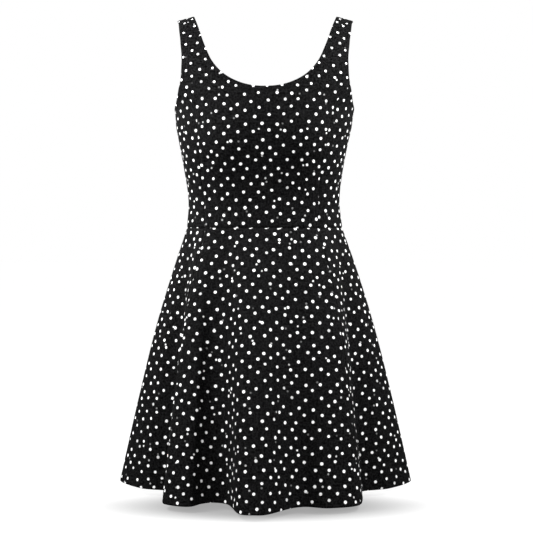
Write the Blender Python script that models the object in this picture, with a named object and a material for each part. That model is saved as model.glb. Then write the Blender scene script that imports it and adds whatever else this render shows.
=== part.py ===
"""Fit and flare dress: a sleeveless scoop-neck bodice with princess seams over a flared, gored skirt.

The dress keeps the hollow shape it has when worn. Metres, +Z up, the front faces -Y, and the wearer's left
is +X. The origin lies midway between the shoulder seams, level with the underside of the straps, where a
wearer's shoulders carry the dress. Every cut piece of cloth is one closed wall on a shared surface, and
neighbouring pieces stop just short of each other at their seams.

A point of the surface is named by two coordinates. "around" is the angle round the body in radians: 0 is
the left side seam, a quarter turn the centre front, half a turn the right side seam. "level" is the height
in metres up to the chest, and from there the length of cloth climbed towards the shoulder.
"""

import math

import bpy
import numpy as np

# Cloth and seams.
CLOTH = 0.0016  # thickness of the knit
SEAM_GAP = 0.0003  # between neighbouring pieces
SURFACE_STEP = 0.001  # step for the slopes that give the surface its normals

# Heights.
RIDGE = CLOTH  # top of the straps, so that their underside is level with the origin
CHEST = -0.185
UNDERARM = -0.156
WAIST = -0.3618
HEM = -0.8063

# The figure that the bodice follows, a row for each section.
HEIGHT, HALF_WIDTH, FRONT, BACK, SQUARENESS, LEAN = range(6)
FIGURE = np.array(
    [
        # height, half width, front depth, back depth, squareness of the outline, sideways lean
        (WAIST, 0.1354, 0.098, 0.090, 2.10, -0.0012),
        (-0.315, 0.1316, 0.095, 0.084, 2.15, -0.0022),
        (-0.265, 0.1375, 0.102, 0.089, 2.22, -0.0030),
        (-0.220, 0.1457, 0.110, 0.096, 2.30, -0.0029),
        (CHEST, 0.1527, 0.113, 0.099, 2.35, -0.0023),
        (UNDERARM, 0.1564, 0.113, 0.099, 2.38, -0.0015),
        (-0.125, 0.1700, 0.113, 0.099, 2.40, -0.0006),
        (-0.085, 0.1858, 0.113, 0.099, 2.40, -0.0005),
        (-0.035, 0.1921, 0.113, 0.099, 2.40, -0.0003),
        (RIDGE, 0.1910, 0.113, 0.099, 2.40, 0.0),
    ]
)
SHOULDER_CLIMB = 0.222  # length of cloth from the chest level over to the shoulder seam
SHOULDER_SLOPE = 0.27  # fall of the shoulder for each metre outwards
STRAP_MIDDLE = 0.138  # distance of a strap's middle from the centre line

# Fullness over the bust, on top of the figure's own depth.
BUST_DEPTH = 0.011
BUST_X = 0.078
BUST_HEIGHT = -0.219
BUST_WIDE = 0.044
BUST_TALL = 0.046

# Neck edges from the shoulder seam to the centre line.
NECK = np.array(
    [
        # height, front distance from the centre line, back distance
        (RIDGE, 0.1243, 0.1243),
        (-0.0255, 0.1141, 0.1180),
        (-0.0573, 0.1028, 0.1105),
        (-0.0873, 0.0883, 0.0975),
        (-0.1083, 0.0686, 0.0780),
        (-0.1228, 0.0415, 0.0460),
        (-0.1297, 0.0, 0.0),
    ]
)

# Armhole edge from the underarm to the shoulder.
ARMHOLE = np.array(
    [
        # height, degrees from the side seam
        (UNDERARM, 0.0),
        (-0.1548, 11.0),
        (-0.1493, 21.5),
        (-0.1332, 32.1),
        (-0.1072, 40.9),
        (-0.0802, 44.7),
        (-0.0455, 45.0),
        (-0.0170, 43.5),
        (RIDGE, 41.0),
    ]
)
ARMHOLE_TURN = -0.0802  # below this height the armhole runs towards the side seam

# Princess seams of the bodice. They end on the armholes.
PRINCESS = np.array(
    [
        # height, degrees from the left side seam, degrees from the right side seam
        (WAIST, 49.0, 42.5),
        (-0.327, 46.6, 41.2),
        (-0.292, 46.6, 40.6),
        (-0.250, 47.8, 42.3),
        (-0.219, 47.0, 44.0),
        (-0.187, 45.6, 45.2),
        (-0.160, 44.6, 43.6),
    ]
)
PRINCESS_END = 37.6  # degrees from the side seam where a princess seam meets the armhole

# Seams of the skirt that carry the princess seams on down to the hem.
SKIRT_SEAMS = np.array(
    [
        # share of the way down, degrees from the left side seam, degrees from the right side seam
        (0.0, 49.0, 42.5),
        (0.08, 47.0, 41.0),
        (0.20, 44.5, 38.5),
        (0.40, 43.2, 37.6),
        (1.0, 43.0, 37.5),
    ]
)

# The skirt without its folds, a row for each section.
SKIRT = np.array(
    [
        # share of the way down, half width, front depth, back depth, squareness, sideways lean
        (0.0, 0.1354, 0.098, 0.090, 2.10, -0.0012),
        (0.15, 0.1585, 0.118, 0.115, 2.08, -0.0004),
        (0.35, 0.1864, 0.142, 0.143, 2.05, -0.0002),
        (0.65, 0.2206, 0.174, 0.176, 2.02, 0.0002),
        (1.0, 0.2562, 0.205, 0.205, 2.00, 0.0004),
    ]
)
FOLD_GROWTH = 0.9  # folds deepen with this power of the share of the way down

# The hem in plan, a row for each crest, flank and hollow of the folds.
FOLDS = np.array(
    [
        # degrees round the waist, hem x, hem y, hem lift
        (0.0, 0.2566, 0.000, 0.001),  # left side crest
        (15.0, 0.213, -0.059, -0.001),
        (28.0, 0.160, -0.0865, -0.002),  # hollow behind the left front fold
        (37.0, 0.161, -0.140, -0.002),
        (43.0, 0.155, -0.176, -0.002),  # edge of that fold, at the skirt seam
        (56.0, 0.106, -0.2035, -0.002),
        (72.0, 0.0596, -0.195, -0.002),
        (82.0, 0.034, -0.213, -0.002),  # hollow between the left and centre folds
        (87.5, 0.011, -0.241, -0.002),
        (98.0, -0.016, -0.2525, -0.002),  # centre fold
        (108.0, -0.045, -0.236, -0.002),
        (112.0, -0.0525, -0.205, -0.002),  # its steep flank
        (116.0, -0.061, -0.178, -0.002),
        (122.0, -0.083, -0.164, -0.002),  # hollow between the centre and right folds
        (129.0, -0.104, -0.174, -0.002),
        (134.0, -0.120, -0.193, -0.002),
        (138.0, -0.141, -0.190, -0.002),
        (142.5, -0.167, -0.168, -0.002),  # edge of the right front fold, at the skirt seam
        (147.0, -0.160, -0.128, -0.002),
        (153.0, -0.1565, -0.0865, -0.002),  # hollow behind it
        (166.0, -0.213, -0.058, -0.001),
        (180.0, -0.2558, 0.000, 0.001),  # right side crest
        (199.0, -0.196, 0.084, -0.001),
        (216.0, -0.186, 0.168, 0.001),  # back right fold
        (232.0, -0.112, 0.168, -0.001),
        (249.0, -0.066, 0.232, 0.001),  # back folds beside the centre
        (269.0, 0.002, 0.186, -0.001),
        (289.0, 0.070, 0.230, 0.001),
        (307.0, 0.116, 0.166, -0.001),
        (323.0, 0.184, 0.170, 0.001),  # back left fold
        (341.0, 0.198, 0.086, -0.001),
    ]
)

# How finely the pieces are cut into faces.
STRAP_CELLS = 9
SEAM_CELLS = 11
WAIST_CELLS = 8
ACROSS_CELLS = 11
SIDE_CELLS = 6
SKIRT_ROWS = 11
FRONT_GORE_CELLS = 44
SIDE_GORE_CELLS = 22
BACK_GORE_CELLS = 68
NECK_SHARE = 0.62  # share of a neck edge that lies beside the armhole
SAG, SAG_SPREAD = 0.036, 0.45  # so that the lines of the back meet the underarm from below
CURVE_POINTS = 200
UNROLL = 0.14  # mean radius that turns an angle round the body into a length

# Finish of the cloth.
BLACK = (0.011, 0.011, 0.012, 1.0)
ROUGHNESS = 0.85

LEFT, RIGHT = 1, 2  # columns of the seam tables
FRONT_NECK, BACK_NECK = 1, 2  # columns of the neck table
QUARTER, HALF, WHOLE = math.pi / 2, math.pi, 2 * math.pi


def smooth(knots, values, at):
    """Cubic pieces through the values, whose slope at each knot comes from its neighbours."""
    slopes = np.gradient(values, knots, axis=0)
    i = np.clip(np.searchsorted(knots, at) - 1, 0, len(knots) - 2)
    width = knots[i + 1] - knots[i]
    t = (at - knots[i]) / width
    if values.ndim > 1:
        width, t = width[..., None], t[..., None]
    start = (1 + 2 * t) * (1 - t) ** 2 * values[i] + t * (1 - t) ** 2 * width * slopes[i]
    end = t**2 * (3 - 2 * t) * values[i + 1] + t**2 * (t - 1) * width * slopes[i + 1]
    return start + end


def level_at(height):
    """The level of a height: the height itself up to the chest, then the cloth's climb to the shoulder."""
    share = np.clip((height - CHEST) / (RIDGE - CHEST), 0, 1)
    return np.where(height <= CHEST, height, CHEST + SHOULDER_CLIMB * np.arcsin(share) / QUARTER)


TOP = float(level_at(RIDGE))


def oval(around, squareness):
    """The point at an angle on an oval of unit half axes, from a circle at 2 to squarer ones above."""
    cosine, sine = np.cos(around), np.sin(around)
    reach = (np.abs(cosine) ** squareness + np.abs(sine) ** squareness) ** (-1 / squareness)
    return cosine * reach, sine * reach


def bodice_point(around, level):
    """A point of the bodice: an oval section that closes over the shoulders like a dome."""
    climb = np.clip((level - CHEST) / SHOULDER_CLIMB, 0, 1) * QUARTER
    height = np.where(level <= CHEST, level, CHEST + (RIDGE - CHEST) * np.sin(climb))
    section = smooth(FIGURE[:, HEIGHT], FIGURE, height)
    wide, deep = oval(around, section[..., SQUARENESS])
    x = section[..., HALF_WIDTH] * wide + section[..., LEAN]
    depth = np.where(deep > 0, section[..., FRONT], section[..., BACK]) * np.cos(climb)
    bust = ((np.abs(x) - BUST_X) / BUST_WIDE) ** 2 + ((height - BUST_HEIGHT) / BUST_TALL) ** 2
    y = -depth * deep - np.where(deep > 0, BUST_DEPTH * np.exp(-bust) * deep**2, 0)
    fall = SHOULDER_SLOPE * (np.abs(x) - STRAP_MIDDLE) * np.sin(climb) ** 2
    return np.stack([x, y, height - fall], axis=-1)


def skirt_base(around, share):
    """A point of the skirt without folds, as (x, y)."""
    section = smooth(SKIRT[:, 0], SKIRT, share)
    wide, deep = oval(around, section[..., SQUARENESS])
    depth = np.where(deep > 0, section[..., FRONT], section[..., BACK])
    return np.stack([section[..., HALF_WIDTH] * wide + section[..., LEAN], -depth * deep], axis=-1)


def hem_curve(around):
    """The folded hem as (x, y, lift), a closed smooth curve through the rows of the fold table."""
    rows = np.concatenate([FOLDS[-3:], FOLDS, FOLDS[:3]])
    knots = rows[:, 0].copy()
    knots[:3] -= 360
    knots[-3:] += 360
    return smooth(np.radians(knots), rows[:, 1:], np.mod(around, WHOLE))


def skirt_point(around, level):
    """A point of the skirt: the plain flare, plus folds that deepen towards the hem."""
    share = np.clip((WAIST - level) / (WAIST - HEM), 0, 1)
    hem = hem_curve(around)
    fold = hem[..., :2] - skirt_base(around, np.ones_like(share))
    growth = share**FOLD_GROWTH
    flat = skirt_base(around, share) + fold * growth[..., None]
    height = level + hem[..., 2] * growth
    return np.concatenate([flat, height[..., None]], axis=-1)


def garment_point(around, level):
    """A point of the outer face of the cloth. Past the shoulder seam the level runs down the other side."""
    over = level > TOP
    around = np.where(over, -around, around)
    level = np.where(over, 2 * TOP - level, level)
    skirt = skirt_point(around, np.minimum(level, WAIST))
    bodice = bodice_point(around, np.maximum(level, WAIST))
    return np.where((level < WAIST)[..., None], skirt, bodice)


def slopes(around, level):
    """How far the surface moves for each radian round the body, and for each metre of level."""
    turn = SURFACE_STEP / UNROLL
    along = garment_point(around + turn, level) - garment_point(around - turn, level)
    up = garment_point(around, level + SURFACE_STEP) - garment_point(around, level - SURFACE_STEP)
    return along / (2 * turn), up / (2 * SURFACE_STEP)


def outward(around, level):
    """The unit normal of the outer face."""
    along, up = slopes(around, level)
    normal = np.cross(up, along)
    return normal / np.linalg.norm(normal, axis=-1, keepdims=True)


def beside(curve, side):
    """A curve of (around, level) moved half a seam gap round the body, to the side with this sign."""
    along, _ = slopes(*curve.T)
    shift = side * SEAM_GAP / 2 / np.linalg.norm(along, axis=-1)
    return curve + np.stack([shift, np.zeros_like(shift)], axis=-1)


def cloth_material(name):
    """Black knit with a dull surface."""
    material = bpy.data.materials.new(name)
    material.use_nodes = True
    shader = material.node_tree.nodes["Principled BSDF"]
    shader.inputs["Base Color"].default_value = BLACK
    shader.inputs["Roughness"].default_value = ROUGHNESS
    shader.inputs["Metallic"].default_value = 0.0
    return material


def grid_faces(rows, columns, first):
    """Four-cornered faces between the points of a grid that starts at index first."""
    i, j = np.meshgrid(np.arange(rows - 1), np.arange(columns - 1), indexing="ij")
    corner = first + i * columns + j
    return np.stack([corner, corner + 1, corner + columns + 1, corner + columns], axis=-1).reshape(-1, 4)


def rim_faces(rows, columns):
    """Faces that join the edge of the outer grid to the edge of the inner one behind it."""
    grid = np.arange(rows * columns).reshape(rows, columns)
    ring = np.concatenate([grid[0, :-1], grid[:-1, -1], grid[-1, :0:-1], grid[:0:-1, 0]])
    following = np.roll(ring, -1)
    behind = rows * columns
    return np.stack([following, ring, ring + behind, following + behind], axis=-1)


def cloth_piece(name, grid):
    """One cut piece: a closed wall, CLOTH thick, over a grid of (around, level)."""
    around, level = grid[..., 0], grid[..., 1]
    rows, columns = around.shape
    outer = garment_point(around, level).reshape(-1, 3)
    inner = outer - CLOTH * outward(around, level).reshape(-1, 3)
    front = grid_faces(rows, columns, 0)
    back = grid_faces(rows, columns, rows * columns)[:, ::-1]
    faces = np.concatenate([front, back, rim_faces(rows, columns)])
    mesh = bpy.data.meshes.new(name)
    mesh.from_pydata(np.concatenate([outer, inner]).tolist(), [], faces.tolist())
    mesh.materials.append(cloth_material(name))
    mesh.update()
    piece = bpy.data.objects.new(name, mesh)
    bpy.context.scene.collection.objects.link(piece)
    face_outwards(mesh)
    return piece


def face_outwards(mesh):
    """Turns the faces of a closed wall round if they point inwards."""
    points = np.array([vertex.co for vertex in mesh.vertices])
    mesh.calc_loop_triangles()
    corners = points[np.array([triangle.vertices for triangle in mesh.loop_triangles])]
    if np.linalg.det(corners).sum() < 0:
        mesh.flip_normals()
    mesh.shade_smooth()
    mesh.set_sharp_from_angle(angle=math.radians(40))


def travelled(points):
    """The distance from a curve's first point to each of its points."""
    steps = np.linalg.norm(np.diff(points, axis=0), axis=1)
    return np.concatenate([[0], np.cumsum(steps)])


def neck_edge(column):
    """A neck edge from the shoulder seam to the centre line, as rows of (around, level)."""
    height, x = NECK[:, 0], NECK[:, column]
    knots = np.stack([height, x], axis=-1)
    knots = np.concatenate([knots, knots[-2:-1] * (1, -1)])
    distance = travelled(knots)
    height, x = smooth(distance, knots, np.linspace(0, distance[-2], CURVE_POINTS)).T
    section = smooth(FIGURE[:, HEIGHT], FIGURE, height)
    wide = np.clip(x / section[:, HALF_WIDTH], 0, 1)
    deep = (1 - wide ** section[:, SQUARENESS]) ** (1 / section[:, SQUARENESS])
    return shoulder_end_lowered(np.stack([np.arctan2(deep, wide), level_at(height)], axis=-1))


def shoulder_end_lowered(edge):
    """The edge with its first point, at the shoulder, drawn back by half a seam gap."""
    edge = edge.copy()
    _, up = slopes(*edge[0])
    edge[0, 1] -= SEAM_GAP / 2 / np.linalg.norm(up)
    return edge


def armhole_edge():
    """The armhole from the shoulder seam to the underarm, as rows of (around, level)."""
    height, degrees = ARMHOLE.T
    knots = np.stack([np.radians(degrees), level_at(height)], axis=-1)
    distance = travelled(knots * (UNROLL, 1))
    edge = smooth(distance, knots, np.linspace(0, distance[-1], CURVE_POINTS))
    return shoulder_end_lowered(edge[::-1])


def spaced(curve, shares):
    """Points of a curve at the given shares of its length."""
    distance = travelled(curve * (UNROLL, 1))
    return np.stack([np.interp(shares * distance[-1], distance, column) for column in curve.T], axis=-1)


def even(cells):
    """Shares that cut a length into equal cells."""
    return np.linspace(0, 1, cells + 1)


def split_armhole():
    """The armhole above and below the princess seam's end, as two curves that share that point."""
    edge = armhole_edge()
    below = edge[:, 0] < math.radians(PRINCESS_END)
    end = int(np.argmax(below & (edge[:, 1] < level_at(ARMHOLE_TURN))))
    return edge[: end + 1], edge[end:]


def princess_seam(end, column):
    """A princess seam from its end on the armhole down to the waist, as rows of (around, level)."""
    levels = np.append(level_at(PRINCESS[:, 0]), end[1])
    angles = np.append(np.radians(PRINCESS[:, column]), end[0])
    level = np.linspace(end[1], WAIST + SEAM_GAP / 2, SEAM_CELLS + 1)
    return np.stack([smooth(levels, angles, level), level], axis=-1)


def side_seam(underarm):
    """The side seam from the underarm down to the waist, as rows of (around, level)."""
    level = np.linspace(underarm[1], WAIST + SEAM_GAP / 2, SEAM_CELLS + 1)
    return np.stack([np.zeros_like(level), level], axis=-1)


def waist_edge(start, cells):
    """The waist from a corner of the bodice to the centre line, without its first point."""
    around = np.linspace(start[0], QUARTER, cells + 1)[1:]
    return np.stack([around, np.full(cells, start[1])], axis=-1)


def mirrored(grid):
    """The same points on the other side of the centre line."""
    return np.stack([HALF - grid[..., 0], grid[..., 1]], axis=-1)


def horseshoe(neck, outer, shoulder_cells, sag=0.0):
    """A grid from half a neck edge out to an outer edge, whose lines sag in a parabola near the underarm."""
    down = len(outer) - 1 - shoulder_cells
    shares = np.append(even(shoulder_cells) * NECK_SHARE, NECK_SHARE + even(down)[1:] * (1 - NECK_SHARE))
    across = even(ACROSS_CELLS)[:, None]
    grid = spaced(neck, shares) * (1 - across[..., None]) + outer * across[..., None]
    from_underarm = np.arange(len(outer)) / shoulder_cells - 1
    grid[..., 1] -= 4 * sag * across * (1 - across) * np.exp(-((from_underarm / SAG_SPREAD) ** 2))
    return grid


def front_bodice():
    """The front: two straps, the neck between them, and the panel between the princess seams."""
    upper, _ = split_armhole()
    halves = []
    for column in (LEFT, RIGHT):
        seam = beside(princess_seam(upper[-1], column), 1)
        armhole = spaced(upper, even(STRAP_CELLS))[:-1]
        outer = np.concatenate([armhole, seam, waist_edge(seam[-1], WAIST_CELLS)])
        halves.append(horseshoe(neck_edge(FRONT_NECK), outer, STRAP_CELLS))
    left, right = halves
    grid = np.concatenate([left, mirrored(right)[:, -2::-1]], axis=1)
    return cloth_piece("front_bodice", grid)


def side_front(column):
    """The panel between a princess seam and the side seam, with the lower armhole as its top."""
    _, lower = split_armhole()
    seam = beside(princess_seam(lower[0], column), -1)
    side = beside(side_seam(lower[-1]), 1)
    top = spaced(lower[::-1], even(SIDE_CELLS))
    top[0], top[-1] = side[0], seam[0]
    across, down = even(SIDE_CELLS)[:, None, None], even(SEAM_CELLS)[None, :, None]
    rows = side * (1 - across) + seam * across
    drop = top[:, None] - rows[:, :1]
    return rows + drop * (1 - down)


def back_bodice():
    """The back, cut in one piece from side seam to side seam, with its own scooped neck."""
    edge = armhole_edge()
    side = beside(side_seam(edge[-1]), 1)
    shoulder_cells = STRAP_CELLS + SIDE_CELLS - 2
    armhole = spaced(edge, even(shoulder_cells))[:-1]
    outer = np.concatenate([armhole, side, waist_edge(side[-1], WAIST_CELLS + SIDE_CELLS - 2)])
    half = horseshoe(neck_edge(BACK_NECK), outer, shoulder_cells, SAG)
    grid = np.concatenate([half, mirrored(half)[:, -2::-1]], axis=1)
    return cloth_piece("back_bodice", grid * (-1, 1))


def skirt_seam(level, column):
    """The angle of a skirt seam at each level, measured from its own side seam."""
    share = (WAIST - level) / (WAIST - HEM)
    return np.radians(smooth(SKIRT_SEAMS[:, 0], SKIRT_SEAMS[:, column], share))


def gore(name, level, start, end, cells):
    """One panel of the skirt between two seams, given by their angles at each level."""
    first = beside(np.stack([start, level], axis=-1), 1)
    last = beside(np.stack([end, level], axis=-1), -1)
    across = even(cells)[:, None, None]
    return cloth_piece(name, first * (1 - across) + last * across)


def bodice():
    """The four pieces above the waist seam."""
    front_bodice()
    cloth_piece("side_front_left", side_front(LEFT))
    cloth_piece("side_front_right", mirrored(side_front(RIGHT)))
    back_bodice()


def skirt():
    """The four pieces below the waist seam."""
    level = np.linspace(WAIST - SEAM_GAP / 2, HEM, SKIRT_ROWS + 1)
    left_side = np.zeros_like(level)
    left_seam = skirt_seam(level, LEFT)
    right_seam = HALF - skirt_seam(level, RIGHT)
    right_side = np.full_like(level, HALF)
    gore("skirt_front", level, left_seam, right_seam, FRONT_GORE_CELLS)
    gore("skirt_side_left", level, left_side, left_seam, SIDE_GORE_CELLS)
    gore("skirt_side_right", level, right_seam, right_side, SIDE_GORE_CELLS)
    gore("skirt_back", level, right_side, left_side + WHOLE, BACK_GORE_CELLS)


def main():
    for old in list(bpy.data.objects):
        bpy.data.objects.remove(old)
    bodice()
    skirt()


if __name__ == "__main__":
    main()
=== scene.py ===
# %% [markdown]
# # A fit and flare dress
#
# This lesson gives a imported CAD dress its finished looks. The CAD holds eight plain walls, one for each
# piece that a maker cuts: four for the bodice and four for the skirt. Here each wall gets a finer shell of
# knit cloth on the same form, with sunk seams, turned edges, soft creases, stitching and a printed dot.
# Everything is in metres, +Z is up, the front faces -Y, and the origin lies between the shoulder seams.

# %% Load the frame
import math

import bpy
import numpy as np
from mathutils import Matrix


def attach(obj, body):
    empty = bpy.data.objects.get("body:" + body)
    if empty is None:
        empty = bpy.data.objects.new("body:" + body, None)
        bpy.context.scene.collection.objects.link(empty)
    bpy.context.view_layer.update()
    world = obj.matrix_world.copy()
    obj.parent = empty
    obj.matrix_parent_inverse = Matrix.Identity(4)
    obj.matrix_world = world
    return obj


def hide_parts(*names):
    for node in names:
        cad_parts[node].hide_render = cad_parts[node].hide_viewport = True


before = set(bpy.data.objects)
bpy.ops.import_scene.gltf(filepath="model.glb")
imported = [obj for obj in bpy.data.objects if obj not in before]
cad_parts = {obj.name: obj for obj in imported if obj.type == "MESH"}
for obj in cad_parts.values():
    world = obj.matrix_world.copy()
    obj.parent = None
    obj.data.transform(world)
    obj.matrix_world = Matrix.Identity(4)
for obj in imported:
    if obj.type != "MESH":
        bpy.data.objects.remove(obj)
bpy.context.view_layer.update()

print("CAD nodes:", ", ".join(sorted(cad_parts)))

# %% [markdown]
# ## The camera
#
# The picture is square and shows the dress from the front, with the lens level with the waist and turned a
# little down. The lens is long, so the sides of the skirt barely spread. Two measures settle such a camera:
# its distance from the dress, and its focal length, which is given here in pixels of the photograph.

# %% Set up the camera
PHOTO_SIZE = 533  # pixels, each way
FOCAL_PIXELS = 1228
CAMERA_DISTANCE = 2.15  # from the middle of the dress
CAMERA_ASIDE = 0.0021
EYE_PIXELS = 38.5  # between the eye's height and the middle of the picture
SENSOR = 36.0  # millimetres
WAIST = -0.3618  # height of the waist seam

camera_data = bpy.data.cameras.new("camera")
camera_data.sensor_width = SENSOR
camera_data.lens = SENSOR * FOCAL_PIXELS / PHOTO_SIZE
camera = bpy.data.objects.new("camera", camera_data)
camera.location = (CAMERA_ASIDE, -CAMERA_DISTANCE, WAIST)
camera.rotation_euler = (math.pi / 2 - math.atan(EYE_PIXELS / FOCAL_PIXELS), 0, 0)
bpy.context.scene.collection.objects.link(camera)
bpy.context.scene.camera = camera
print(f"camera: {camera_data.lens:.1f} mm lens, {CAMERA_DISTANCE} m away")

# %% [markdown]
# ## Floor, world and lights
#
# The dress was shot on seamless white and casts one soft oval shadow under its hem. The folds of the skirt
# stay dark in their hollows while the sides of the bodice are light, which is the mark of lamps close by on
# both sides. So two small panels stand beside the dress, three larger ones in front of it and two behind.
# The floor glows, as overexposed paper does, and it throws little light back up. A floor that glows shows
# next to no cast shadow, so its material has a painted shadow: an oval where it glows less. The plain view
# transform keeps white white.

# %% Make the studio
HEM = -0.8063  # height of the hem
FLOOR_DROP = 0.013  # from the hem to the floor
FLOOR_REACH = 14.0
FLOOR_WHITE, FLOOR_BOUNCE = (0.08, 0.08, 0.08, 1), (0.10, 0.10, 0.10, 1)
FLOOR_ROUGHNESS = 0.9
# The oval of the floor's painted shadow, and the floor's glow inside and outside it.
SHADOW_MIDDLE = -0.145  # of the shadow's oval, towards the camera
SHADOW_REACH = (0.30, 0.125)  # its half axes
NEAR_GLOW, NEAR_SHARE = 0.36, 0.40  # in the shadow, out to this share of its reach
FAR_GLOW, FAR_SHARE = 1.00, 1.15  # on the open floor, from this share of it
WORLD_STRENGTH = 0.03
LAMPS = (
    # name, place, size, watts
    ("left_lamp", (-0.85, -0.35, 0.20), 0.4, 25),
    ("right_lamp", (0.82, -0.25, 0.25), 0.4, 23),
    ("left_front_lamp", (-1.1, -1.9, 0.8), 0.8, 19),
    ("right_front_lamp", (1.1, -1.9, 0.8), 0.8, 21),
    ("front_lamp", (0.0, -2.6, -0.1), 1.0, 14),
    ("left_back_lamp", (-1.1, 0.8, 0.4), 0.8, 17),
    ("right_back_lamp", (1.1, 0.8, 0.4), 0.8, 11),
)


def split_by_ray(tree, seen, met, output):
    """The camera sees one shader, and all other light meets the other."""
    path = tree.nodes.new("ShaderNodeLightPath")
    pick = tree.nodes.new("ShaderNodeMixShader")
    tree.links.new(path.outputs["Is Camera Ray"], pick.inputs["Fac"])
    tree.links.new(met.outputs[0], pick.inputs[1])
    tree.links.new(seen.outputs[0], pick.inputs[2])
    tree.links.new(pick.outputs["Shader"], tree.nodes[output].inputs["Surface"])


def floor_material():
    """White glowing paper as the camera sees it, with a painted shadow oval, that throws little light back
    up.
    """
    material = bpy.data.materials.new("floor_white_painted_shadow")
    material.use_nodes = True
    nodes, links = material.node_tree.nodes, material.node_tree.links
    shader = nodes["Principled BSDF"]
    shader.inputs["Base Color"].default_value = FLOOR_WHITE
    shader.inputs["Roughness"].default_value = FLOOR_ROUGHNESS
    shader.inputs["Specular IOR Level"].default_value = 0.0
    shader.inputs["Emission Color"].default_value = (1, 1, 1, 1)
    place = nodes.new("ShaderNodeTexCoord")
    level = nodes.new("ShaderNodeVectorMath")
    level.operation = "MULTIPLY_ADD"
    level.inputs[1].default_value = (1 / SHADOW_REACH[0], 1 / SHADOW_REACH[1], 0)
    level.inputs[2].default_value = (0, -SHADOW_MIDDLE / SHADOW_REACH[1], 0)
    away = nodes.new("ShaderNodeVectorMath")
    away.operation = "LENGTH"
    # Painted shadow: the glow is lower inside the oval under the hem and full on the open floor.
    glow = nodes.new("ShaderNodeMapRange")
    glow.interpolation_type = "SMOOTHSTEP"
    limits = (NEAR_SHARE, FAR_SHARE, NEAR_GLOW, FAR_GLOW)
    for socket, value in zip(("From Min", "From Max", "To Min", "To Max"), limits):
        glow.inputs[socket].default_value = value
    links.new(place.outputs["Object"], level.inputs[0])
    links.new(level.outputs[0], away.inputs[0])
    links.new(away.outputs["Value"], glow.inputs["Value"])
    links.new(glow.outputs["Result"], shader.inputs["Emission Strength"])
    bounce = nodes.new("ShaderNodeBsdfDiffuse")
    bounce.inputs["Color"].default_value = FLOOR_BOUNCE
    split_by_ray(material.node_tree, shader, bounce, "Material Output")
    return material


def make_floor():
    """A flat square: its corners are the four signs of the reach, at the floor's height."""
    corners = FLOOR_REACH * np.array([(-1, -1, 0), (1, -1, 0), (1, 1, 0), (-1, 1, 0)], float)
    corners[:, 2] = HEM - FLOOR_DROP
    mesh = bpy.data.meshes.new("floor")
    mesh.from_pydata(corners.tolist(), [], [(0, 1, 2, 3)])
    mesh.materials.append(floor_material())
    floor = bpy.data.objects.new("floor", mesh)
    bpy.context.scene.collection.objects.link(floor)


def soft_light(name, place, size, watts):
    """A square lamp panel that faces the waist. It shines along its own -Z."""
    lamp = bpy.data.lights.new(name, "AREA")
    lamp.size = size
    lamp.energy = watts
    panel = bpy.data.objects.new(name, lamp)
    x, y, z = place
    panel.location = place
    panel.rotation_euler = (math.atan2(math.hypot(x, y), z - WAIST), 0, math.atan2(x, -y))
    bpy.context.scene.collection.objects.link(panel)


def white_world():
    """An even surround, white to the camera and dim to the dress."""
    world = bpy.data.worlds.new("white")
    world.use_nodes = True
    nodes = world.node_tree.nodes
    ground = nodes["Background"]
    ground.inputs["Color"].default_value = (1, 1, 1, 1)
    ground.inputs["Strength"].default_value = WORLD_STRENGTH
    seen = nodes.new("ShaderNodeBackground")
    seen.inputs["Color"].default_value = (1, 1, 1, 1)
    split_by_ray(world.node_tree, seen, ground, "World Output")
    bpy.context.scene.world = world


make_floor()
white_world()
for lamp_row in LAMPS:
    soft_light(*lamp_row)
bpy.context.scene.view_settings.view_transform = "Standard"
print("floor at", round(HEM - FLOOR_DROP, 4))

# %% [markdown]
# ## The form of the dress
#
# The finer shells must lie exactly where the CAD walls lie. They could be made from the CAD's triangles,
# but those are too coarse for seams and stitches, so this step states the CAD's surface again as a
# function. A point is named by its angle round the body and by its level, which is the height up to the
# chest and from there the length of cloth climbed towards the shoulder. The bodice is a stack of ovals that
# closes over the shoulders like a dome, with two round fullnesses at the bust. The skirt is a plain flare
# plus folds, and a short table of crests, flanks and hollows says where the folds stand at the hem.

# %% State the bodice and skirt tables
CHEST = -0.185
RIDGE = 0.0016  # top of the straps
UNDERARM = -0.156
SHOULDER_CLIMB = 0.222  # length of cloth from the chest level over to the shoulder seam
SHOULDER_SLOPE = 0.27  # how far a shoulder seam falls for each metre outwards
STRAP_MIDDLE = 0.138  # distance from the centre line where it has the ridge's height
BUST_DEPTH, BUST_X, BUST_HEIGHT, BUST_WIDE, BUST_TALL = 0.011, 0.078, -0.219, 0.044, 0.046
SEAM_GAP = 0.0003  # between two panels
SURFACE_STEP = 0.001  # step for the slopes that give the surface its normals
UNROLL = 0.14  # mean radius that turns an angle round the body into a length
CURVE_POINTS = 400  # points along a measured or resampled curve
QUARTER, HALF, WHOLE = math.pi / 2, math.pi, 2 * math.pi

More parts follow.
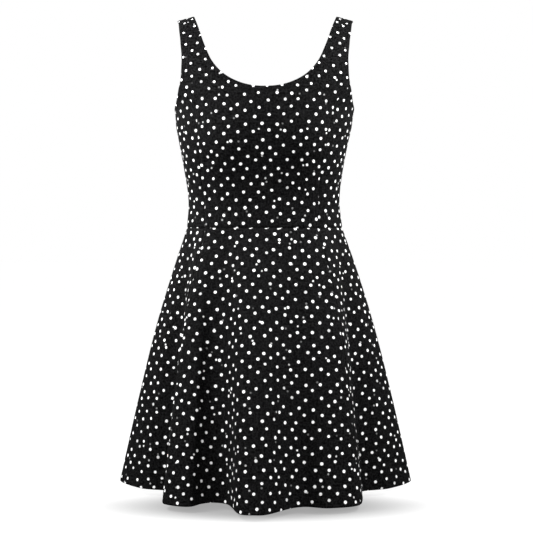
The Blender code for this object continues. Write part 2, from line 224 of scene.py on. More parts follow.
HEIGHT, HALF_WIDTH, FRONT, BACK, SQUARENESS, LEAN = range(6)
FIGURE = np.array(
    [
        # height, half width, front depth, back depth, squareness, sideways lean
        (WAIST, 0.1354, 0.098, 0.090, 2.10, -0.0012),
        (-0.315, 0.1316, 0.095, 0.084, 2.15, -0.0022),
        (-0.265, 0.1375, 0.102, 0.089, 2.22, -0.0030),
        (-0.220, 0.1457, 0.110, 0.096, 2.30, -0.0029),
        (CHEST, 0.1527, 0.113, 0.099, 2.35, -0.0023),
        (UNDERARM, 0.1564, 0.113, 0.099, 2.38, -0.0015),
        (-0.125, 0.1700, 0.113, 0.099, 2.40, -0.0006),
        (-0.085, 0.1858, 0.113, 0.099, 2.40, -0.0005),
        (-0.035, 0.1921, 0.113, 0.099, 2.40, -0.0003),
        (RIDGE, 0.1910, 0.113, 0.099, 2.40, 0.0),
    ]
)
SKIRT = np.array(
    [
        # share of the way down, half width, front depth, back depth, squareness, sideways lean
        (0.0, 0.1354, 0.098, 0.090, 2.10, -0.0012),
        (0.15, 0.1585, 0.118, 0.115, 2.08, -0.0004),
        (0.35, 0.1864, 0.142, 0.143, 2.05, -0.0002),
        (0.65, 0.2206, 0.174, 0.176, 2.02, 0.0002),
        (1.0, 0.2562, 0.205, 0.205, 2.00, 0.0004),
    ]
)
FOLD_GROWTH = 0.9  # folds deepen with this power of the share of the way down
WRAPPED = 3  # rows of the fold table repeated at either end, so that the curve closes smoothly
FOLDS = np.array(
    [
        # degrees round the waist, hem x, hem y, hem lift
        (0.0, 0.2566, 0.000, 0.001),
        (15.0, 0.213, -0.059, -0.001),
        (28.0, 0.160, -0.0865, -0.002),
        (37.0, 0.161, -0.140, -0.002),
        (43.0, 0.155, -0.176, -0.002),
        (56.0, 0.106, -0.2035, -0.002),
        (72.0, 0.0596, -0.195, -0.002),
        (82.0, 0.034, -0.213, -0.002),
        (87.5, 0.011, -0.241, -0.002),
        (98.0, -0.016, -0.2525, -0.002),
        (108.0, -0.045, -0.236, -0.002),
        (112.0, -0.0525, -0.205, -0.002),
        (116.0, -0.061, -0.178, -0.002),
        (122.0, -0.083, -0.164, -0.002),
        (129.0, -0.104, -0.174, -0.002),
        (134.0, -0.120, -0.193, -0.002),
        (138.0, -0.141, -0.190, -0.002),
        (142.5, -0.167, -0.168, -0.002),
        (147.0, -0.160, -0.128, -0.002),
        (153.0, -0.1565, -0.0865, -0.002),
        (166.0, -0.213, -0.058, -0.001),
        (180.0, -0.2558, 0.000, 0.001),
        (199.0, -0.196, 0.084, -0.001),
        (216.0, -0.186, 0.168, 0.001),
        (232.0, -0.112, 0.168, -0.001),
        (249.0, -0.066, 0.232, 0.001),
        (269.0, 0.002, 0.186, -0.001),
        (289.0, 0.070, 0.230, 0.001),
        (307.0, 0.116, 0.166, -0.001),
        (323.0, 0.184, 0.170, 0.001),
        (341.0, 0.198, 0.086, -0.001),
    ]
)

print("heights of the bodice table:", len(FIGURE), "places of the fold table:", len(FOLDS))

# %% Work out a point of the surface


def smooth(knots, values, at):
    """Cubic pieces through the values, whose slope at each knot comes from its neighbours."""
    slope = np.gradient(values, knots, axis=0)
    i = np.clip(np.searchsorted(knots, at) - 1, 0, len(knots) - 2)
    width = knots[i + 1] - knots[i]
    t = (at - knots[i]) / width
    if values.ndim > 1:
        width, t = width[..., None], t[..., None]
    start = (1 + 2 * t) * (1 - t) ** 2 * values[i] + t * (1 - t) ** 2 * width * slope[i]
    end = t**2 * (3 - 2 * t) * values[i + 1] + t**2 * (t - 1) * width * slope[i + 1]
    return start + end


def level_at(height):
    """The height itself up to the chest, then the chest plus the climb times arcsine over a quarter turn."""
    share = np.clip((height - CHEST) / (RIDGE - CHEST), 0, 1)
    return np.where(height <= CHEST, height, CHEST + SHOULDER_CLIMB * np.arcsin(share) / QUARTER)


TOP = float(level_at(RIDGE))


def oval(around, squareness):
    """Cosine and sine of the angle, times the reach at which their powers add up to one."""
    cosine, sine = np.cos(around), np.sin(around)
    reach = (np.abs(cosine) ** squareness + np.abs(sine) ** squareness) ** (-1 / squareness)
    return cosine * reach, sine * reach


def bodice_point(around, level):
    """An oval at its height, less deep by the cosine of the climb, plus two bell curves at the bust.

    The shoulders slope: the fall grows outwards, times the squared sine of the climb.
    """
    climb = np.clip((level - CHEST) / SHOULDER_CLIMB, 0, 1) * QUARTER
    height = np.where(level <= CHEST, level, CHEST + (RIDGE - CHEST) * np.sin(climb))
    section = smooth(FIGURE[:, HEIGHT], FIGURE, height)
    wide, deep = oval(around, section[..., SQUARENESS])
    x = section[..., HALF_WIDTH] * wide + section[..., LEAN]
    depth = np.where(deep > 0, section[..., FRONT], section[..., BACK]) * np.cos(climb)
    bust = ((np.abs(x) - BUST_X) / BUST_WIDE) ** 2 + ((height - BUST_HEIGHT) / BUST_TALL) ** 2
    y = -depth * deep - np.where(deep > 0, BUST_DEPTH * np.exp(-bust) * deep**2, 0)
    fall = SHOULDER_SLOPE * (np.abs(x) - STRAP_MIDDLE) * np.sin(climb) ** 2
    return np.stack([x, y, height - fall], axis=-1)


def skirt_base(around, share):
    """An oval whose half axes come from the skirt table, as (x, y)."""
    section = smooth(SKIRT[:, 0], SKIRT, share)
    wide, deep = oval(around, section[..., SQUARENESS])
    depth = np.where(deep > 0, section[..., FRONT], section[..., BACK])
    return np.stack([section[..., HALF_WIDTH] * wide + section[..., LEAN], -depth * deep], axis=-1)


def hem_curve(around):
    """A closed smooth curve through the rows of the fold table, as (x, y, lift)."""
    rows = np.concatenate([FOLDS[-WRAPPED:], FOLDS, FOLDS[:WRAPPED]])
    knots = rows[:, 0].copy()
    knots[:WRAPPED] -= 360
    knots[-WRAPPED:] += 360
    return smooth(np.radians(knots), rows[:, 1:], np.mod(around, WHOLE))


def skirt_point(around, level):
    """The plain flare, plus the hem's offset from it times a power of the share of the way down."""
    share = np.clip((WAIST - level) / (WAIST - HEM), 0, 1)
    hem = hem_curve(around)
    fold = hem[..., :2] - skirt_base(around, np.ones_like(share))
    growth = share**FOLD_GROWTH
    flat = skirt_base(around, share) + fold * growth[..., None]
    height = level + hem[..., 2] * growth
    return np.concatenate([flat, height[..., None]], axis=-1)


def garment_point(around, level):
    """Skirt below the waist, bodice above it. Past the shoulder seam the level runs down the other side."""
    over = level > TOP
    around = np.where(over, -around, around)
    level = np.where(over, 2 * TOP - level, level)
    skirt = skirt_point(around, np.minimum(level, WAIST))
    bodice = bodice_point(around, np.maximum(level, WAIST))
    return np.where((level < WAIST)[..., None], skirt, bodice)


def slopes(around, level):
    """Central differences of the surface, for each radian round the body and each metre of level."""
    turn = SURFACE_STEP / UNROLL
    along = garment_point(around + turn, level) - garment_point(around - turn, level)
    up = garment_point(around, level + SURFACE_STEP) - garment_point(around, level - SURFACE_STEP)
    return along / (2 * turn), up / (2 * SURFACE_STEP)


def outward(around, level):
    """The unit normal: the cross product of the two slopes."""
    along, up = slopes(around, level)
    normal = np.cross(up, along)
    return normal / np.linalg.norm(normal, axis=-1, keepdims=True)


once_round = np.linspace(0, WHOLE, CURVE_POINTS)
bust_line = garment_point(once_round, np.full(CURVE_POINTS, BUST_HEIGHT))
print("round the bust:", round(float(np.linalg.norm(np.diff(bust_line, axis=0), axis=1).sum()), 3))

# %% [markdown]
# ## The lines that the cloth is cut along
#
# A pattern cutter draws the neck, the armholes and the seams first, and the panels are what lies between
# them. Each line here is a short table of places joined by a smooth curve. The neck and armhole edges are
# given by height, and the princess seams, which carry on through the skirt to the hem, by their angle.

# %% Draw the edges and seams
LEFT, RIGHT = 1, 2  # columns of the seam tables
FRONT_NECK, BACK_NECK = 1, 2  # columns of the neck table
NECK = np.array(
    [
        # height, front distance from the centre line, back distance
        (RIDGE, 0.1243, 0.1243),
        (-0.0255, 0.1141, 0.1180),
        (-0.0573, 0.1028, 0.1105),
        (-0.0873, 0.0883, 0.0975),
        (-0.1083, 0.0686, 0.0780),
        (-0.1228, 0.0415, 0.0460),
        (-0.1297, 0.0, 0.0),
    ]
)
ARMHOLE = np.array(
    [
        # height, degrees from the side seam
        (UNDERARM, 0.0),
        (-0.1548, 11.0),
        (-0.1493, 21.5),
        (-0.1332, 32.1),
        (-0.1072, 40.9),
        (-0.0802, 44.7),
        (-0.0455, 45.0),
        (-0.0170, 43.5),
        (RIDGE, 41.0),
    ]
)
ARMHOLE_TURN = -0.0802  # below this height the armhole runs towards the side seam
PRINCESS = np.array(
    [
        # height, degrees from the left side seam, degrees from the right side seam
        (WAIST, 49.0, 42.5),
        (-0.327, 46.6, 41.2),
        (-0.292, 46.6, 40.6),
        (-0.250, 47.8, 42.3),
        (-0.219, 47.0, 44.0),
        (-0.187, 45.6, 45.2),
        (-0.160, 44.6, 43.6),
    ]
)
PRINCESS_END = 37.6  # degrees from the side seam where a princess seam meets the armhole
SKIRT_SEAMS = np.array(
    [
        # share of the way down, degrees from the left side seam, degrees from the right side seam
        (0.0, 49.0, 42.5),
        (0.08, 47.0, 41.0),
        (0.20, 44.5, 38.5),
        (0.40, 43.2, 37.6),
        (1.0, 43.0, 37.5),
    ]
)


def travelled(points):
    """The summed length of the chords up to each point of a curve."""
    steps = np.linalg.norm(np.diff(points, axis=0), axis=1)
    return np.concatenate([[0], np.cumsum(steps)])


def shoulder_end_lowered(edge):
    """The edge with its first point, at the shoulder, drawn back by half a seam gap."""
    edge = edge.copy()
    _, up = slopes(*edge[0])
    edge[0, 1] -= SEAM_GAP / 2 / np.linalg.norm(up)
    return edge


def neck_edge(column):
    """A neck edge from the shoulder seam to the centre line, as rows of (around, level)."""
    knots = np.stack([NECK[:, 0], NECK[:, column]], axis=-1)
    knots = np.concatenate([knots, knots[-2:-1] * (1, -1)])
    distance = travelled(knots)
    height, x = smooth(distance, knots, np.linspace(0, distance[-2], CURVE_POINTS)).T
    section = smooth(FIGURE[:, HEIGHT], FIGURE, height)
    wide = np.clip(x / section[:, HALF_WIDTH], 0, 1)
    deep = (1 - wide ** section[:, SQUARENESS]) ** (1 / section[:, SQUARENESS])
    return shoulder_end_lowered(np.stack([np.arctan2(deep, wide), level_at(height)], axis=-1))


def armhole_edge():
    """The armhole from the shoulder seam to the underarm, as rows of (around, level)."""
    height, degrees = ARMHOLE.T
    knots = np.stack([np.radians(degrees), level_at(height)], axis=-1)
    distance = travelled(knots * (UNROLL, 1))
    edge = smooth(distance, knots, np.linspace(0, distance[-1], CURVE_POINTS))
    return shoulder_end_lowered(edge[::-1])


def split_armhole():
    """The armhole above and below the princess seam's end, as two curves that share that point."""
    edge = armhole_edge()
    below = edge[:, 0] < math.radians(PRINCESS_END)
    end = int(np.argmax(below & (edge[:, 1] < level_at(ARMHOLE_TURN))))
    return edge[: end + 1], edge[end:]


def princess_seam(end, column, cells):
    """A princess seam from its end on the armhole down to the waist, as rows of (around, level)."""
    levels = np.append(level_at(PRINCESS[:, 0]), end[1])
    angles = np.append(np.radians(PRINCESS[:, column]), end[0])
    level = np.linspace(end[1], WAIST + SEAM_GAP / 2, cells + 1)
    return np.stack([smooth(levels, angles, level), level], axis=-1)


def skirt_seam(level, column):
    """The angle of a skirt seam at each level, measured from its own side seam."""
    share = (WAIST - level) / (WAIST - HEM)
    return np.radians(smooth(SKIRT_SEAMS[:, 0], SKIRT_SEAMS[:, column], share))


def beside(curve, side):
    """A curve of (around, level) moved half a seam gap round the body, to the side with this sign."""
    along, _ = slopes(*curve.T)
    shift = side * SEAM_GAP / 2 / np.linalg.norm(along, axis=-1)
    return curve + np.stack([shift, np.zeros_like(shift)], axis=-1)


def mirrored(grid):
    """The same points on the other side of the centre line."""
    return np.stack([HALF - grid[..., 0], grid[..., 1]], axis=-1)


armhole_length = travelled(garment_point(*armhole_edge().T))[-1]
print("half an armhole:", round(float(armhole_length), 3))

# %% [markdown]
# ## A grid for each panel
#
# Each panel is a grid of (angle, level) pairs. Its lines stand closer together along the edges, because
# that is where the cloth turns under and where the stitches pull it in. The front and the back of the
# bodice are horseshoes: their grid lines run from the neck edge out to the armholes, seams and waist. On the
# back they sag on the way, so that they meet the hollow of the armhole from below and never cross it. The
# skirt panels and the side panels are plain four-sided grids. A mesh of triangles cut out along the lines
# would also do, but in a grid every edge is a row or a column, so seams, rims and stitch rows are found by
# index. Cell counts are multiples of eight, which the flattening further down needs.

# %% Space the grid lines
CROWDING = 2.2  # how much closer the lines stand at an edge
SEAM_BAND, TURN_BAND, HEM_BAND = 0.004, 0.008, 0.022  # how far from the edge they do so
CROWD_SAMPLES = 1500  # places along a length where its density is added up


def crowded(length, cells, start_band, end_band):
    """Shares of a length: equal steps of the running sum of one plus a bell curve at either end."""
    x = np.linspace(0, length, CROWD_SAMPLES)
    density = 1 + CROWDING * (np.exp(-((x / start_band) ** 2)) + np.exp(-(((length - x) / end_band) ** 2)))
    mass = np.concatenate([[0], np.cumsum((density[1:] + density[:-1]) / 2)])
    return np.interp(np.linspace(0, mass[-1], cells + 1), mass, x / length)


def spaced(curve, shares):
    """Points of a curve at the given shares of its length."""
    distance = travelled(curve * (UNROLL, 1))
    return np.stack([np.interp(shares * distance[-1], distance, column) for column in curve.T], axis=-1)


def joined(*curves):
    """Curves end to end, without the repeated corner points."""
    return np.concatenate([curves[0]] + [curve[1:] for curve in curves[1:]])


def even(cells):
    """Shares that cut a length into equal cells."""
    return np.linspace(0, 1, cells + 1)


ACROSS_CELLS = 72
STRAP_CELLS, SEAM_CELLS, WAIST_CELLS = 56, 64, 32
ARM_CELLS, SIDE_CELLS, BACK_WAIST_CELLS = 88, 64, 56
SIDE_ACROSS, SIDE_DOWN = 32, 64
SIDE_WIDTH, SIDE_HEIGHT = 0.09, 0.2  # rough size of a side panel, for the spacing of its lines
SKIRT_ROWS = 152
FRONT_GORE, SIDE_GORE, BACK_GORE = 136, 72, 248
NECK_SHARE = 0.62  # share of a neck edge that lies beside the armhole
SAG, SAG_SPREAD = 0.036, 0.45  # so that the lines of the back meet the underarm from below


def horseshoe(neck, outer, shoulder_cells, sag=0.0):
    """Straight lines in angle and level from half a neck edge to an outer edge, crowded at both ends.

    Each line sags by a parabola, and the sag fades in a bell curve along the edge, away from the underarm.
    """
    down = len(outer) - 1 - shoulder_cells
    shares = np.append(even(shoulder_cells) * NECK_SHARE, NECK_SHARE + even(down)[1:] * (1 - NECK_SHARE))
    inner = spaced(neck, shares)
    span = np.linalg.norm(garment_point(*outer.T) - garment_point(*inner.T), axis=-1)
    across = np.stack([crowded(length, ACROSS_CELLS, TURN_BAND, TURN_BAND) for length in span], axis=1)
    grid = inner * (1 - across[..., None]) + outer * across[..., None]
    from_underarm = np.arange(len(outer)) / shoulder_cells - 1
    grid[..., 1] -= 4 * sag * across * (1 - across) * np.exp(-((from_underarm / SAG_SPREAD) ** 2))
    return grid


def waist_line(start, cells):
    """The waist from a corner of the bodice to the centre line."""
    around = np.linspace(start[0], QUARTER, cells + 1)
    return np.stack([around, np.full(cells + 1, start[1])], axis=-1)


def front_grid():
    """The front: straps, neck and the panel between the princess seams."""
    upper, _ = split_armhole()
    halves = []
    for column in (LEFT, RIGHT):
        seam = beside(princess_seam(upper[-1], column, SEAM_CELLS), 1)
        armhole = spaced(upper, even(STRAP_CELLS))
        armhole[-1] = seam[0]
        outer = joined(armhole, seam, waist_line(seam[-1], WAIST_CELLS))
        halves.append(horseshoe(neck_edge(FRONT_NECK), outer, STRAP_CELLS))
    left, right = halves
    return np.concatenate([left, mirrored(right)[:, -2::-1]], axis=1)


def side_seam(underarm, cells):
    """The side seam from the underarm down to the waist."""
    level = np.linspace(underarm[1], WAIST + SEAM_GAP / 2, cells + 1)
    return beside(np.stack([np.zeros_like(level), level], axis=-1), 1)


def back_grid():
    """The back, cut in one piece from side seam to side seam, with its own scooped neck."""
    edge = armhole_edge()
    side = side_seam(edge[-1], SIDE_CELLS)
    armhole = spaced(edge, even(ARM_CELLS))
    armhole[-1] = side[0]
    outer = joined(armhole, side, waist_line(side[-1], BACK_WAIST_CELLS))
    half = horseshoe(neck_edge(BACK_NECK), outer, ARM_CELLS, SAG)
    return np.concatenate([half, mirrored(half)[:, -2::-1]], axis=1) * (-1, 1)


def side_front_grid(column):
    """The panel between a princess seam and the side seam, with the lower armhole as its top."""
    _, lower = split_armhole()
    down = crowded(SIDE_HEIGHT, SIDE_DOWN, TURN_BAND, SEAM_BAND)
    seam = beside(princess_seam(lower[0], column, SEAM_CELLS), -1)
    seam = np.stack([np.interp(down, even(SEAM_CELLS), value) for value in seam.T], axis=-1)
    side = side_seam(lower[-1], SEAM_CELLS)
    side = np.stack([np.interp(down, even(SEAM_CELLS), value) for value in side.T], axis=-1)
    across = crowded(SIDE_WIDTH, SIDE_ACROSS, SEAM_BAND, SEAM_BAND)
    top = spaced(lower[::-1], across)
    top[0], top[-1] = side[0], seam[0]
    rows = side * (1 - across[:, None, None]) + seam * across[:, None, None]
    return rows + (top[:, None] - rows[:, :1]) * (1 - down)[None, :, None]


def gore_grid(start, end, cells, width):
    """One skirt panel between two seams, given as functions from level to angle."""
    down = crowded(WAIST - HEM, SKIRT_ROWS, SEAM_BAND, HEM_BAND)
    level = WAIST - SEAM_GAP / 2 - down * (WAIST - SEAM_GAP / 2 - HEM)
    first = beside(np.stack([start(level), level], axis=-1), 1)
    last = beside(np.stack([end(level), level], axis=-1), -1)
    across = crowded(width, cells, SEAM_BAND, SEAM_BAND)[:, None, None]
    return first * (1 - across) + last * across


print("cells across a strap:", ACROSS_CELLS, "rows of the skirt:", SKIRT_ROWS)

# %% [markdown]
# ## Laying the cloth flat
#
# A print runs straight on the cut cloth, and the seams and folds then bend it. So each panel is laid flat
# first. The first guess measures every point along the surface, round the body and up it. Then the flat
# points push each other, coarse cells first and fine ones after, to bring every edge and diagonal of the
# grid near its true length. Cloth that curves two ways can't lie quite flat, so some stretch stays, and its
# root mean square is printed for each panel. Blender's own unwrapping could lay the panels flat as well, but
# it gives them no true size, and here the print needs one. The flat shape gives the print its coordinates in
# metres, the distances to the edges, and the size of the cut. A flat point is one complex number: across
# plus i times up.

# %% Flatten a panel
GUESS_STEPS = 24
STRIDES = (8, 4, 2, 1)
ROUNDS = (500, 160, 80, 40)  # one number for each stride
PUSH = 0.24  # share of the summed pushes that a point follows
CHORDS_AT_ONCE = 48


def first_guess(grid, grain):
    """Summed chords round the body from the grain angle, and up the body from the waist."""
    around, level = grid[..., 0], grid[..., 1]
    steps = np.linspace(0, 1, GUESS_STEPS)[:, None, None]
    ring = garment_point(grain + (around - grain) * steps, level + 0 * steps)
    ladder = garment_point(around + 0 * steps, WAIST + (level - WAIST) * steps)
    across = np.linalg.norm(np.diff(ring, axis=0), axis=-1).sum(axis=0) * np.sign(grain - around)
    up = np.linalg.norm(np.diff(ladder, axis=0), axis=-1).sum(axis=0) * np.sign(level - WAIST)
    return across + 1j * up


def true_lengths(points, stride):
    """Lengths along the surface of a coarse grid's edges and diagonals, summed over its fine cells."""
    rows, columns = (points.shape[0] - 1) // stride, (points.shape[1] - 1) // stride
    along = np.linalg.norm(np.diff(points[::stride], axis=1), axis=-1)
    down = np.linalg.norm(np.diff(points[:, ::stride], axis=0), axis=-1)
    falling = np.linalg.norm(points[1:, 1:] - points[:-1, :-1], axis=-1)
    rising = np.linalg.norm(points[1:, :-1] - points[:-1, 1:], axis=-1)[:, ::-1]
    block = (rows, stride, columns, stride)
    return (
        along.reshape(rows + 1, columns, stride).sum(axis=-1),
        down.reshape(rows, stride, columns + 1).sum(axis=1),
        np.einsum("aibi->ab", falling.reshape(block)),
        np.einsum("aibi->ab", rising.reshape(block))[:, ::-1],
    )


def pushed(flat, lengths, rounds):
    """Each round moves both ends of every edge by the push share of half of what its length is off."""
    pairs = (
        (np.s_[:, 1:], np.s_[:, :-1]),
        (np.s_[1:], np.s_[:-1]),
        (np.s_[1:, 1:], np.s_[:-1, :-1]),
        (np.s_[1:, :-1], np.s_[:-1, 1:]),
    )
    for _ in range(rounds):
        move = np.zeros_like(flat)
        for (head, tail), length in zip(pairs, lengths):
            gap = flat[head] - flat[tail]
            push = gap * (length / np.abs(gap) - 1) / 2
            move[head] += push
            move[tail] -= push
        flat = flat + PUSH * move
    return flat


def stretched_to(values, size, axis):
    """Linear interpolation of evenly spaced values to a larger size along one axis."""
    values = np.moveaxis(values, axis, 0)
    place = np.linspace(0, len(values) - 1, size)
    low = np.minimum(place.astype(int), len(values) - 2)
    share = (place - low)[:, None]
    return np.moveaxis(values[low] * (1 - share) + values[low + 1] * share, 0, axis)


def flattened(name, grid, grain):
    """The flat cut of a panel, turned back to the direction of the first guess."""
    points = garment_point(grid[..., 0], grid[..., 1])
    guess = first_guess(grid, grain)
    flat = guess
    for stride, rounds in zip(STRIDES, ROUNDS):
        coarse = flat[::stride, ::stride]
        moved = pushed(coarse, true_lengths(points, stride), rounds) - coarse
        flat = flat + stretched_to(stretched_to(moved, flat.shape[0], 0), flat.shape[1], 1)
    turn = np.sum(np.conj(flat - flat.mean()) * (guess - guess.mean()))
    flat = (flat - flat.mean()) * turn / abs(turn) + guess.mean()
    strain = np.abs(np.diff(flat, axis=1)) / true_lengths(points, 1)[0] - 1
    size = (np.ptp(flat.real), np.ptp(flat.imag))
    print(f"{name}: flat {size[0]:.3f} x {size[1]:.3f} m, stretch off by {np.sqrt((strain**2).mean()):.4f}")
    return flat


def flat_area(flat):
    """Half the cross products of the diagonals of the flat cells, added up."""
    one = flat[1:, 1:] - flat[:-1, :-1]
    other = flat[1:, :-1] - flat[:-1, 1:]
    return float(np.abs((np.conj(one) * other).imag).sum() / 2)


def distance_to(flat, curves):
    """The shortest distance from each flat point to any chord of the curves, a block of chords at a time."""
    points = flat.reshape(-1, 1)
    nearest = np.full(len(points), np.inf)
    for curve in curves:
        for first in range(0, len(curve) - 1, CHORDS_AT_ONCE):
            start = curve[first : first + CHORDS_AT_ONCE + 1]
            start, chord = start[:-1], np.diff(start)
            share = np.clip(((points - start) * np.conj(chord)).real / np.abs(chord) ** 2, 0, 1)
            nearest = np.minimum(nearest, np.abs(points - start - share * chord).min(axis=1))
    return nearest.reshape(flat.shape)


# %% [markdown]
# ## Creases, seams and turned edges
#
# Three things disturb the smooth form. Where two panels are sewn, the cloth sinks into the seam and puckers
# a little along it. Where an edge is turned under and stitched, it is rounded and the stitch rows press in.
# And where the body pulls the knit, soft creases run from the tight places: beside and under the bust, from
# the underarms, above and below the waist, and across the hollow of the back. A cloth simulation could find
# such creases, but it would also move the outline that the photograph gives, so they are listed one by one.
# Each is one row of a table. Depth is measured outwards, so a trough is negative.

# %% Place the creases
CREASES = np.array(
    [
        # start degrees, start level, end degrees, end level, depth, width
        (122.0, -0.245, 137.0, -0.252, -0.0024, 0.0044),
        (117.0, -0.258, 129.0, -0.272, -0.0018, 0.0042),
        (60.0, -0.246, 45.0, -0.251, -0.0023, 0.0044),
        (64.0, -0.254, 72.0, -0.276, -0.0017, 0.0044),
        (140.0, -0.196, 158.0, -0.182, -0.0011, 0.0060),
        (143.0, -0.214, 163.0, -0.206, -0.0008, 0.0055),
        (40.0, -0.197, 24.0, -0.183, -0.0011, 0.0060),
        (37.0, -0.216, 19.0, -0.209, -0.0008, 0.0055),
        (97.0, -0.330, 121.0, -0.322, -0.0007, 0.0050),
        (84.0, -0.340, 61.0, -0.331, -0.0007, 0.0055),
        (146.0, -0.337, 172.0, -0.327, -0.0010, 0.0055),
        (34.0, -0.336, 10.0, -0.325, -0.0010, 0.0055),
        (150.0, -0.313, 168.0, -0.305, -0.0007, 0.0050),
        (29.0, -0.310, 13.0, -0.303, -0.0007, 0.0050),
        (103.0, -0.366, 99.0, -0.438, -0.0012, 0.0060),
        (117.0, -0.367, 118.0, -0.412, -0.0009, 0.0050),
        (79.0, -0.366, 76.0, -0.428, 0.0009, 0.0065),
        (66.0, -0.368, 62.0, -0.446, -0.0010, 0.0060),
        (71.0, -0.512, 77.0, -0.556, -0.0011, 0.0060),
        (75.0, -0.497, 83.0, -0.529, -0.0008, 0.0050),
        (95.0, -0.560, 91.0, -0.640, 0.0010, 0.0090),
        (222.0, -0.318, 262.0, -0.311, -0.0016, 0.0070),
        (281.0, -0.322, 322.0, -0.314, -0.0015, 0.0065),
        (236.0, -0.338, 287.0, -0.341, -0.0014, 0.0060),
        (252.0, -0.298, 300.0, -0.292, -0.0010, 0.0060),
        (197.0, -0.186, 219.0, -0.216, -0.0012, 0.0060),
        (343.0, -0.187, 321.0, -0.219, -0.0012, 0.0060),
        (226.0, -0.236, 247.0, -0.246, -0.0008, 0.0060),
        (312.0, -0.233, 296.0, -0.242, -0.0008, 0.0060),
        (214.0, -0.367, 212.0, -0.430, -0.0012, 0.0060),
        (243.0, -0.367, 246.0, -0.452, -0.0011, 0.0065),
        (268.0, -0.366, 267.0, -0.417, -0.0009, 0.0055),
        (296.0, -0.367, 293.0, -0.441, -0.0012, 0.0060),
        (327.0, -0.367, 330.0, -0.423, -0.0010, 0.0060),
        (258.0, -0.590, 262.0, -0.690, 0.0012, 0.0090),
    ]
)
SKIRT_GROWTH = 0.27  # how much wider the mean radius grows from waist to hem, over the height between
FADE_POWER = 1.5  # of the half sine that fades a crease at its ends
START_WIDTH, WIDTH_GAIN = 0.7, 0.5  # of a crease's width at its start, and what it gains along its line


def crease_height(around, level):
    """A bell curve across each crease's line, faded to nothing at both ends of the line."""
    radius = UNROLL + SKIRT_GROWTH * np.clip(WAIST - level, 0, None)
    height = np.zeros_like(around)
    for start, start_level, end, end_level, depth, width in CREASES:
        from_start = (np.mod(around, WHOLE) - math.radians(start)) * radius + 1j * (level - start_level)
        line = math.radians(end - start) * radius + 1j * (end_level - start_level)
        share = ((from_start * np.conj(line)).real / np.abs(line) ** 2).clip(0, 1)
        aside = (from_start * np.conj(line)).imag / np.abs(line)
        fade = np.sin(share * HALF) ** FADE_POWER
        height += depth * fade * np.exp(-((aside / (width * (START_WIDTH + WIDTH_GAIN * share))) ** 2))
    return height


print("creases:", len(CREASES), "deepest:", float(np.abs(CREASES[:, 4]).max()))

# %% Sink the seams and round the edges
SEAM_DEPTH, SEAM_WIDTH = 0.0010, 0.0015
SEAM_SWELL, SWELL_AT, SWELL_WIDTH = 0.00022, 0.0058, 0.0038  # the soft ridge over the seam allowance
PUCKER_DEPTH, PUCKER_WIDTH = 0.00012, 0.0060
PUCKER_WAVES = ((0.0071, 0.4), (0.0113, 2.1), (0.0187, 4.4), (0.0291, 1.3))  # length, phase
STITCH_DEPTH, STITCH_WIDTH = 0.00032, 0.0009
STITCH_UNEVEN = 0.3  # share by which the puckers deepen and lift a pressed row
EDGE_ROLL, EDGE_ROLL_WIDTH = 0.0004, 0.0012
EDGE_ROWS = (0.0060, 0.0088)  # stitch rows from the neck and armhole edges
HEM_ROWS = (0.0180, 0.0208)  # stitch rows from the hem
SINGLE = 0.0010  # one layer of the knit
TURNED = 0.0009  # what the turned layer adds
EDGE_ALLOWANCE, HEM_ALLOWANCE, SEAM_ALLOWANCE = 0.0100, 0.0222, 0.0085
STEP_SOFTNESS = 0.0006  # over which the second layer ends


def puckers(around, level):
    """A sum of sine waves of unlike lengths, taken along the level and round the body at once."""
    along = level + UNROLL * np.mod(around, WHOLE)
    return sum(np.sin(WHOLE * along / length + phase) for length, phase in PUCKER_WAVES) / 2


def disturbed(grid, to_seam, to_edge, to_hem):
    """How far each point stands out from the smooth form."""
    around, level = grid[..., 0], grid[..., 1]
    height = crease_height(around, level)
    height -= SEAM_DEPTH * np.exp(-((to_seam / SEAM_WIDTH) ** 2))
    height += SEAM_SWELL * np.exp(-(((to_seam - SWELL_AT) / SWELL_WIDTH) ** 2))
    height += PUCKER_DEPTH * np.exp(-to_seam / PUCKER_WIDTH) * puckers(around, level)
    for distance, rows in ((to_edge, EDGE_ROWS), (to_hem, HEM_ROWS)):
        height -= EDGE_ROLL * np.exp(-((distance / EDGE_ROLL_WIDTH) ** 2))
        for row in rows:
            pressed = np.exp(-(((distance - row) / STITCH_WIDTH) ** 2))
            height -= STITCH_DEPTH * pressed * (1 + STITCH_UNEVEN * puckers(around, level))
    return height


def step_down(distance, at):
    """One inside the distance, nought outside it, with a soft step between."""
    return 0.5 - 0.5 * np.tanh((distance - at) / STEP_SOFTNESS)


def thickness(to_lap, to_edge, to_hem):
    """One layer of cloth, and one more where an edge is turned under or a seam allowance lies."""
    second = np.maximum(step_down(to_edge, EDGE_ALLOWANCE), step_down(to_hem, HEM_ALLOWANCE))
    return SINGLE + TURNED * np.maximum(second, step_down(to_lap, SEAM_ALLOWANCE))


# %% [markdown]
# ## Building a shell
#
# A shell is two sheets of faces, the printed outside and the plain inside, joined by a rim that is rounded
# like folded cloth. A Solidify modifier could thicken one sheet, but here the thickness changes where the
# cloth lies double and each side has its own material, so both sheets are made directly. The inside lies
# behind the outside along the normals of the smooth form, so it shares the relief. All of it is whole-array
# arithmetic: the grid gives the faces by index, and the rim is the ring of edge points swept through half
# an oval.

# %% Build the mesh of a shell
RIM_STEPS = 4
RIM_REACH = 0.8  # how far the rim bulges, as a share of a true half circle


def grid_faces(rows, columns, first):
    """Four-cornered faces between the points of a grid that starts at index first."""
    i, j = np.meshgrid(np.arange(rows - 1), np.arange(columns - 1), indexing="ij")
    corner = first + i * columns + j
    return np.stack([corner, corner + 1, corner + columns + 1, corner + columns], axis=-1).reshape(-1, 4)


